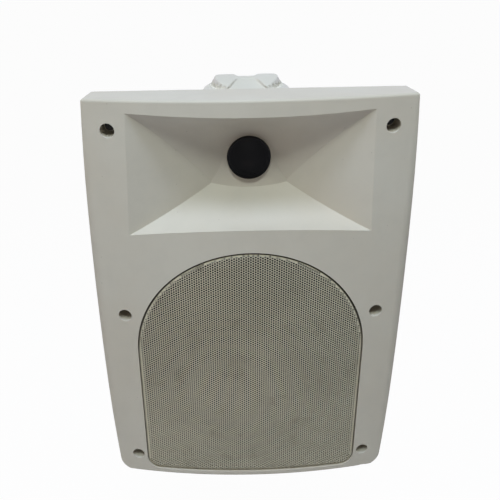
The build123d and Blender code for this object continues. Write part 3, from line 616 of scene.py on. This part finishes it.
def boundary_edges(piece):
    """Index pairs of the edges that have one face only."""
    uses = {}
    for face in piece.data.polygons:
        for key in face.edge_keys:
            uses[key] = uses.get(key, 0) + 1
    return {key for key, count in uses.items() if count == 1}


def press_sheet(field, outline, target, inside_edge, back, wall):
    """Join field and outline, press them onto the target and give the holes a depth."""
    deselect()
    outline.select_set(True)
    field.select_set(True)
    bpy.context.view_layer.objects.active = field
    bpy.ops.object.join()
    bpy.ops.object.mode_set(mode="EDIT")
    bpy.ops.mesh.select_mode(type="EDGE")
    bpy.ops.mesh.select_all(action="DESELECT")
    bpy.ops.mesh.select_non_manifold(
        extend=False,
        use_wire=True,
        use_boundary=True,
        use_multi_face=False,
        use_non_contiguous=False,
        use_verts=False,
    )
    bpy.ops.mesh.fill(use_beauty=True)
    bpy.ops.mesh.select_face_by_sides(number=CELL_SIDES, type="EQUAL", extend=False)
    bpy.ops.mesh.delete(type="ONLY_FACE")
    bpy.ops.mesh.select_all(action="SELECT")
    bpy.ops.mesh.normals_make_consistent(inside=False)
    bpy.ops.object.mode_set(mode="OBJECT")
    if sum(face.normal.y for face in field.data.polygons) > 0:
        bpy.ops.object.mode_set(mode="EDIT")
        bpy.ops.mesh.flip_normals()
        bpy.ops.object.mode_set(mode="OBJECT")
    apply_modifier(
        field,
        "SHRINKWRAP",
        target=target,
        wrap_method="PROJECT",
        use_project_y=True,
        use_positive_direction=True,
        use_negative_direction=False,
    )

    points = field.data.vertices
    open_edges = boundary_edges(field)

    def is_rim(edge):
        ends = [points[number].co for number in edge.vertices]
        return all(inside_edge(end.x, end.z) for end in ends)

    def is_open(edge):
        return tuple(sorted(edge.vertices)) in open_edges

    select_where(field, "EDGE", lambda edge: is_open(edge) and is_rim(edge))
    bpy.ops.mesh.extrude_edges_move(TRANSFORM_OT_translate={"value": (0, wall, 0)})
    bpy.ops.mesh.select_more()
    bpy.ops.mesh.separate(type="SELECTED")
    bpy.ops.object.mode_set(mode="OBJECT")
    walls = next(piece for piece in bpy.context.selected_objects if piece != field)
    walls.name = field.name + "_hole_walls"
    walls.select_set(False)
    points = field.data.vertices
    open_edges = boundary_edges(field)
    select_where(field, "EDGE", lambda edge: is_open(edge) and not is_rim(edge))
    bpy.ops.mesh.extrude_edges_move(TRANSFORM_OT_translate={"value": (0, wall, 0)})
    bpy.ops.transform.resize(value=(1, 0, 1), center_override=(0, back, 0))
    bpy.ops.object.mode_set(mode="OBJECT")
    bpy.ops.object.shade_smooth_by_angle(angle=SMOOTH_ANGLE)
    return field, walls


def finish_sheet(pieces, wall_finish, body, slot, solid_name):
    """Dress a sheet and the walls of its holes and let them stand for the solid sheet."""
    for piece, finish in zip(pieces, (slot, wall_finish)):
        piece.data.materials.clear()
        piece.data.materials.append(finishes[finish])
        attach(piece, body)
        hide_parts(solid_name)
        print(piece.name, "triangles:", triangle_count(piece))


print("sheet steps: join, fill, press, extrude")

# %% [markdown]
# ## Woofer grille
# The grille's outline is an arch: a half circle on two straight sides with small corners at the
# foot. It starts as a circle whose lower half is deleted. Two vertices are pulled down, the foot is
# closed, and a vertex bevel rounds the corners. In the photograph the holes run up onto the rounded
# edge, so the cells reach as close to the outline as whole cells can.

# %% Draw the arch
GRILLE_CORNER = 11 * mm
SHEET_EDGE = 0.25 * mm
START_GAP = 5 * mm
TINY = 0.1 * mm
ARCH_POINTS = 320
CORNER_STEPS = 12
LONG_EDGE = 20 * mm
LONG_EDGE_CUTS = 90

grille_low, grille_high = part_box("woofer_grille")
arch_half = (grille_high.x - grille_low.x) / 2
arch_centre = grille_high.z - arch_half
sheet_start = grille_low.y - START_GAP


def in_arch(x, z, margin):
    """True inside the arch, at least margin away from its edge."""
    if z > arch_centre:
        return math.hypot(x, z - arch_centre) <= arch_half - margin
    corner_x = abs(x) - (arch_half - GRILLE_CORNER)
    corner_z = grille_low.z + GRILLE_CORNER - z
    if corner_x > 0 and corner_z > 0:
        return math.hypot(corner_x, corner_z) <= GRILLE_CORNER - margin
    return abs(x) <= arch_half - margin and z >= grille_low.z + margin


def arch_outline():
    deselect()
    bpy.ops.mesh.primitive_circle_add(
        vertices=ARCH_POINTS,
        radius=arch_half - SHEET_EDGE,
        location=(0, sheet_start, arch_centre),
        rotation=(math.pi / 2, 0, 0),
    )
    outline = bpy.context.object
    bpy.ops.object.transform_apply(location=True, rotation=True, scale=True)
    select_where(outline, "VERT", lambda v: v.co.z < arch_centre - TINY)
    bpy.ops.mesh.delete(type="VERT")
    foot = grille_low.z + SHEET_EDGE
    select_where(outline, "VERT", lambda v: v.co.z < arch_centre + TINY)
    drop = (0, 0, foot - arch_centre)
    bpy.ops.mesh.extrude_vertices_move(TRANSFORM_OT_translate={"value": drop})
    bpy.ops.mesh.edge_face_add()
    bpy.ops.mesh.select_all(action="SELECT")
    bpy.ops.mesh.edge_face_add()
    select_where(outline, "VERT", lambda v: v.co.z < foot + TINY)
    bpy.ops.mesh.bevel(
        offset=GRILLE_CORNER - SHEET_EDGE, affect="VERTICES", segments=CORNER_STEPS
    )
    bpy.ops.mesh.select_all(action="SELECT")
    bpy.ops.mesh.delete(type="ONLY_FACE")
    bpy.ops.object.mode_set(mode="OBJECT")
    points = outline.data.vertices

    def is_long(edge):
        start, end = [points[number].co for number in edge.vertices]
        return (start - end).length > LONG_EDGE

    select_where(outline, "EDGE", is_long)
    bpy.ops.mesh.subdivide(number_cuts=LONG_EDGE_CUTS)
    bpy.ops.object.mode_set(mode="OBJECT")
    return outline


print("arch in mm:", round(2 * arch_half / mm), "x", round((grille_high.z - grille_low.z) / mm))

# %% Punch the grille
GRILLE_PITCH = 2.17 * mm
GRILLE_HOLE_RADIUS = 0.93 * mm
GRILLE_WALL = 0.75 * mm
RIM_MARGIN = SHEET_EDGE + 0.05 * mm

cell_reach = GRILLE_PITCH / math.sqrt(3) + SHEET_EDGE + TINY
grille_cells = hole_field(
    "punched_grille",
    GRILLE_PITCH,
    GRILLE_HOLE_RADIUS,
    (grille_low.x, grille_low.z),
    (grille_high.x, grille_high.z),
    sheet_start,
    lambda x, z: in_arch(x, z, cell_reach),
)
grille = press_sheet(
    grille_cells,
    arch_outline(),
    nodes["woofer_grille"],
    lambda x, z: in_arch(x, z, RIM_MARGIN),
    grille_high.y,
    GRILLE_WALL,
)
# The hole walls take the darker finish: dirt and painted shade.
finish_sheet(grille, "grille_hole_dirt_and_shade", "cabinet", "grille_paint", "woofer_grille")

# %% [markdown]
# ## Tweeter guard
# A black mesh dome protects the tweeter in the throat of the horn. It is the same kind of sheet
# with finer holes and a round outline, pressed onto the CAD dome, so the same helpers make it.

# %% Punch the guard
GUARD_PITCH = 1.25 * mm
GUARD_HOLE_RADIUS = 0.46 * mm
GUARD_WALL = 0.3 * mm
GUARD_POINTS = 96

guard_low, guard_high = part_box("tweeter_guard")
guard_centre = (guard_low + guard_high) / 2
guard_radius = (guard_high.x - guard_low.x) / 2
guard_start = guard_low.y - START_GAP


def in_guard(x, z, margin):
    return math.hypot(x - guard_centre.x, z - guard_centre.z) <= guard_radius - margin


deselect()
bpy.ops.mesh.primitive_circle_add(
    vertices=GUARD_POINTS,
    radius=guard_radius - SHEET_EDGE,
    location=(guard_centre.x, guard_start, guard_centre.z),
    rotation=(math.pi / 2, 0, 0),
)
guard_outline = bpy.context.object
bpy.ops.object.transform_apply(location=True, rotation=True, scale=True)
guard_reach = GUARD_PITCH / math.sqrt(3) + SHEET_EDGE + TINY
guard_cells = hole_field(
    "punched_guard",
    GUARD_PITCH,
    GUARD_HOLE_RADIUS,
    (guard_low.x, guard_low.z),
    (guard_high.x, guard_high.z),
    guard_start,
    lambda x, z: in_guard(x, z, guard_reach),
)
guard = press_sheet(
    guard_cells,
    guard_outline,
    nodes["tweeter_guard"],
    lambda x, z: in_guard(x, z, RIM_MARGIN),
    guard_high.y,
    GUARD_WALL,
)
finish_sheet(guard, "guard_mesh", "cabinet", "guard_mesh", "tweeter_guard")

# %% [markdown]
# ## Surround and spider
# The cone hangs in two soft rings, the rubber surround and the woven spider. Their inner edges move
# with the cone and their outer edges stay on the basket. Each ring is cut into twelve sectors, from
# copies of the solid with two bisecting planes. Neighbours share the cut, so the sectors together
# close the ring.

# %% Copy a solid
MERGE_DISTANCE = 0.01 * mm


def solid_copy(solid_name, name):
    """A copy of a solid with its own mesh, merged and ready for editing."""
    deselect()
    piece = bpy.data.objects.new(name, nodes[solid_name].data.copy())
    bpy.context.collection.objects.link(piece)
    bpy.context.view_layer.objects.active = piece
    piece.select_set(True)
    bpy.ops.mesh.customdata_custom_splitnormals_clear()
    bpy.ops.object.mode_set(mode="EDIT")
    bpy.ops.mesh.select_all(action="SELECT")
    bpy.ops.mesh.remove_doubles(threshold=MERGE_DISTANCE)
    bpy.ops.mesh.normals_make_consistent(inside=False)
    bpy.ops.object.mode_set(mode="OBJECT")
    return piece


print("copies merge points closer than", MERGE_DISTANCE / mm, "mm")

# %% Cut the soft rings into sectors
SECTORS = 12


def ring_sectors(solid_name):
    """Sectors of a ring about the woofer's axis, each cut between two bisecting planes."""
    low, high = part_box(solid_name)
    centre = (low + high) / 2
    half = math.pi / SECTORS
    for number in range(SECTORS):
        sector = solid_copy(solid_name, f"{solid_name}_{number + 1}")
        middle = 2 * half * (number + 0.5)
        bpy.ops.object.mode_set(mode="EDIT")
        for side in (-1, 1):
            cut = middle + side * half
            away = (-side * math.sin(cut), 0, side * math.cos(cut))
            bpy.ops.mesh.select_all(action="SELECT")
            bpy.ops.mesh.bisect(plane_co=centre, plane_no=away, clear_outer=True)
        bpy.ops.object.mode_set(mode="OBJECT")
        bpy.ops.object.shade_smooth_by_angle(angle=SMOOTH_ANGLE)
        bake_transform(sector)
        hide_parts(solid_name)


ring_sectors(
    "woofer_surround",
)
ring_sectors(
    "woofer_spider",
)
print("sectors in each soft ring:", SECTORS)

# %% [markdown]
# ## Hand knobs
# The bracket's knobs are soft mouldings: in the photograph no edge is crisp, and beside the ramp
# for the thumb fine ridges run in arcs. The CAD knob has the form, so a copy of it is rebuilt in
# small even faces with a Remesh modifier, smoothed, and pushed in and out by a pattern of rings. A
# vertex group keeps the rings on the flank between the crown and the flange. A bevel could not do
# this, because the copy's triangles are too uneven for it.

# %% Find the flank of a knob
FLANK_RADIUS = (25 * mm, 29 * mm, 2 * mm)
FLANK_HEIGHT = (17 * mm, 22.5 * mm, 1.5 * mm)
FLANK_SIDE = (16 * mm, 40 * mm, 4 * mm)


def fade(value, low, high, edge):
    """1 between low and high, falling to 0 over the edge on both sides."""
    return max(0.0, min(1.0, (value - low) / edge + 1, (high - value) / edge + 1))


def on_flank(point, centre, base):
    """How much the ridges show at a point of the knob."""
    radius = math.hypot(point.x - centre.x, point.y - centre.y)
    height = abs(point.z) - base
    ring = fade(radius, *FLANK_RADIUS) * fade(height, *FLANK_HEIGHT)
    return ring * fade(abs(point.x), *FLANK_SIDE)


print("ridges up to", FLANK_RADIUS[1] / mm, "mm from the axis")

# %% Soften the knobs and add the ridges
KNOB_FACE = 0.6 * mm
KNOB_SMOOTHING = 11
RIDGE_STEP = 4.0 * mm
RIDGE_HEIGHT = 1.6 * mm
RING_WAVE = 2 * math.pi / 20
RING_FRONT = 30 * mm
RING_RISE = 12 * mm


def soft_knob(solid_name, body):
    low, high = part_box(solid_name)
    centre = (low + high) / 2
    base = min(abs(low.z), abs(high.z))
    knob = solid_copy(solid_name, "soft_" + solid_name)
    apply_modifier(knob, "REMESH", mode="VOXEL", voxel_size=KNOB_FACE)
    apply_modifier(knob, "SMOOTH", factor=0.5, iterations=KNOB_SMOOTHING)
    flank = knob.vertex_groups.new(name="flank")
    for vertex in knob.data.vertices:
        flank.add([vertex.index], on_flank(vertex.co, centre, base), "REPLACE")
    rings = bpy.data.textures.new("ridges", "WOOD")
    rings.wood_type = "RINGS"
    side = math.copysign(1, centre.z)
    start = (centre.x, centre.y - RING_FRONT, side * (base + RING_RISE))
    bpy.ops.object.empty_add(location=start)
    ring_centre = bpy.context.object
    ring_centre.scale = [RIDGE_STEP / RING_WAVE] * 3
    bpy.context.view_layer.update()
    bpy.context.view_layer.objects.active = knob
    apply_modifier(
        knob,
        "DISPLACE",
        texture=rings,
        texture_coords="OBJECT",
        texture_coords_object=ring_centre,
        vertex_group="flank",
        strength=RIDGE_HEIGHT,
    )
    bpy.data.objects.remove(ring_centre)
    knob.data.shade_smooth()
    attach(knob, body)
    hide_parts(solid_name)
    return knob


for solid_name, body in (("knob_top", "upper_knob"), ("knob_bottom", "lower_knob")):
    knob = soft_knob(solid_name, body)
    print(knob.name, "triangles:", triangle_count(knob))

# %% [markdown]
# ## Floor and light
# The photograph has a plain white ground and soft light. Trials with one lamp at a time, set
# against the tones of the front, the horn and the top, gave the lamps: one in front and above, one
# almost overhead that reaches only the outer floor of the horn, weak ones in front and at the left,
# and a wide warm one from below that stands for light from the ground. Two behind light the cabinet
# and the bracket. The floor answers camera rays with plain white mixed with its own shaded colour,
# so it keeps a trace of the shadow without putting more light on the speaker. The air beyond the
# floor is plain white for the same rays.


# %% Add the lamps
LAMP_DISTANCE = 1.6
lamp_target = Vector((0, -0.2, 0.03))


def softbox(name, azimuth, elevation, side, power, tint):
    """Round lamp that looks at the speaker; azimuth 0 is in front, elevation 90 overhead."""
    turn, lift = math.radians(azimuth), math.radians(elevation)
    level = math.cos(lift)
    away = Vector((math.sin(turn) * level, -math.cos(turn) * level, math.sin(lift)))
    bpy.ops.object.light_add(
        type="AREA",
        location=lamp_target + LAMP_DISTANCE * away,
        rotation=(-away).to_track_quat("-Z", "Y").to_euler(),
    )
    lamp = bpy.context.object
    lamp.name = name
    lamp.data.shape = "DISK"
    lamp.data.size = side
    lamp.data.energy = power
    lamp.data.color = tint


deselect()
softbox("front_lamp", -4, 56, 0.4, 12.2, (0.9, 1.0, 0.97))
softbox("overhead_lamp", 0, 74, 0.4, 13.4, (0.66, 0.77, 1.0))
softbox("fill_lamp", 0, 20, 0.9, 1.2, (1.0, 0.96, 0.9))
softbox("left_lamp", -75, 15, 0.9, 2.8, (1.0, 0.86, 0.85))
softbox("low_lamp", 0, -40, 1.2, 16.0, (1.0, 0.72, 0.56))
softbox("rear_left_lamp", -140, 20, 1.2, 4.4, (0.74, 0.71, 1.0))
softbox("rear_right_lamp", 140, 20, 1.2, 4.4, (0.74, 0.71, 1.0))
print("lamps: 7")

# %% Add the floor and the world
FLOOR_LEVEL = -0.62
FLOOR_SIDE = 60
FLOOR_WHITE = 0.97
AIR_WHITE = 1.0
AIR_STRENGTH = 0.06
bpy.ops.mesh.primitive_plane_add(size=FLOOR_SIDE, location=(0, 0, FLOOR_LEVEL))
floor = bpy.context.object
floor.name = "studio_floor"
ground, ground_shader, ground_place = begin("studio_floor")
pale = mix(clouds(ground_place, 1.5), (0.84, 0.84, 0.84, 1), (0.8, 0.8, 0.8, 1))
connect(ground_shader, base_color=pale)
ground_shader.inputs["Roughness"].default_value = 0.9


def seen_white(tree):
    """1 for the rays that show the background: camera, glossy and see-through rays."""
    path = tree.nodes.new("ShaderNodeLightPath").outputs
    rays = Wire(path["Is Camera Ray"]) + Wire(path["Is Glossy Ray"])
    return step(rays + Wire(path["Is Transmission Ray"]), 0.0, 1.0)


def show_white(tree, kind, lit, share, output):
    """Mix plain white into what the background's own shader gives, for the rays that show it."""
    white = lit.node(kind, {}, {"Color": (1, 1, 1, 1), "Strength": 1.0})
    both = lit.node("MixShader", {}, {0: seen_white(tree) * share, 1: lit, 2: white})
    tree.links.new(both.socket, tree.nodes[output].inputs[0])


ground_light = Wire(ground_shader.outputs[0])
show_white(ground.node_tree, "Emission", ground_light, FLOOR_WHITE, "Material Output")
floor.data.materials.append(ground)

world = bpy.data.worlds.new("studio_air")
world.use_nodes = True
bpy.context.scene.world = world
air = world.node_tree.nodes["Background"]
air.inputs["Color"].default_value = (0.98, 0.99, 1.0, 1)
air.inputs["Strength"].default_value = AIR_STRENGTH
show_white(world.node_tree, "Background", Wire(air.outputs[0]), AIR_WHITE, "World Output")
print("floor at", FLOOR_LEVEL, "m")
